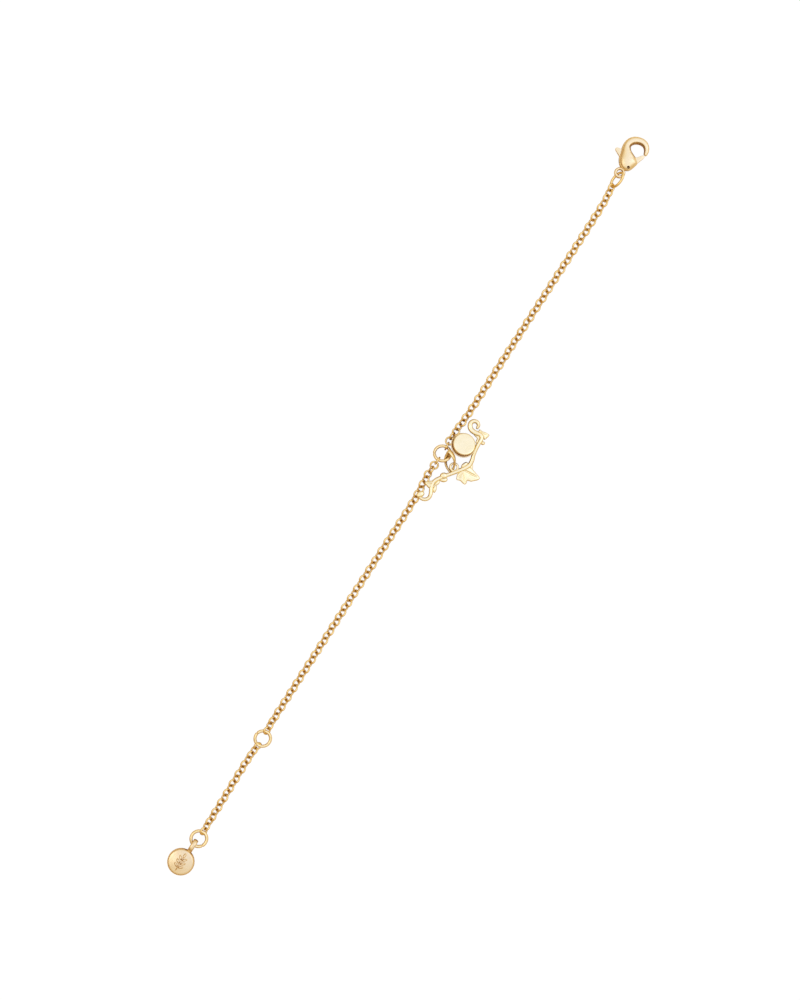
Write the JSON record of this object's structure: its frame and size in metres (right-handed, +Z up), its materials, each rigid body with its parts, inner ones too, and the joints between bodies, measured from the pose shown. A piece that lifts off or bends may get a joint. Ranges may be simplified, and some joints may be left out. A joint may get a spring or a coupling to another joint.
{
  "type": "charm bracelet with lobster clasp",
  "caption": "Fine rolo-chain charm bracelet laid out straight, with a lobster clasp, a vine-and-disc charm on a bail, an extender chain and a round end tag.",
  "frame": {"origin": "middle of the bracelet's footprint, on the surface it lies on", "axes": "+X along the bracelet from the end tag to the clasp, +Y across it away from the charm, +Z up"},
  "size_m": [0.2016, 0.0144, 0.0039],
  "materials": {
    "satin_gold": "pale yellow gold plating, satin",
    "chain_gold": "yellow gold plating, polished",
    "cast_gold": "pale gold plating, softly polished casting"
  },
  "bodies": {
    "bracelet": {"clasp_body": "satin_gold", "clasp_rivet": "satin_gold", "clasp_link": "chain_gold", "chain_upper": "chain_gold", "chain_lower": "chain_gold", "chain_extender": "chain_gold", "centre_ring": "chain_gold", "extender_ring": "chain_gold", "end_ring": "chain_gold", "charm_bail": "chain_gold", "charm": "cast_gold", "tag": "satin_gold"},
    "clasp_gate": {"clasp_lever": "satin_gold"}
  },
  "joints": [
    {"name": "clasp_lever_hinge", "type": "hinge", "parent": "bracelet", "child": "clasp_gate", "pos_m": [0.09317, 0.00244, 0.0015], "axis": [0, 0, 1], "range_deg": [0, 22], "stiffness_Nm_per_rad": 0.005}
  ]
}
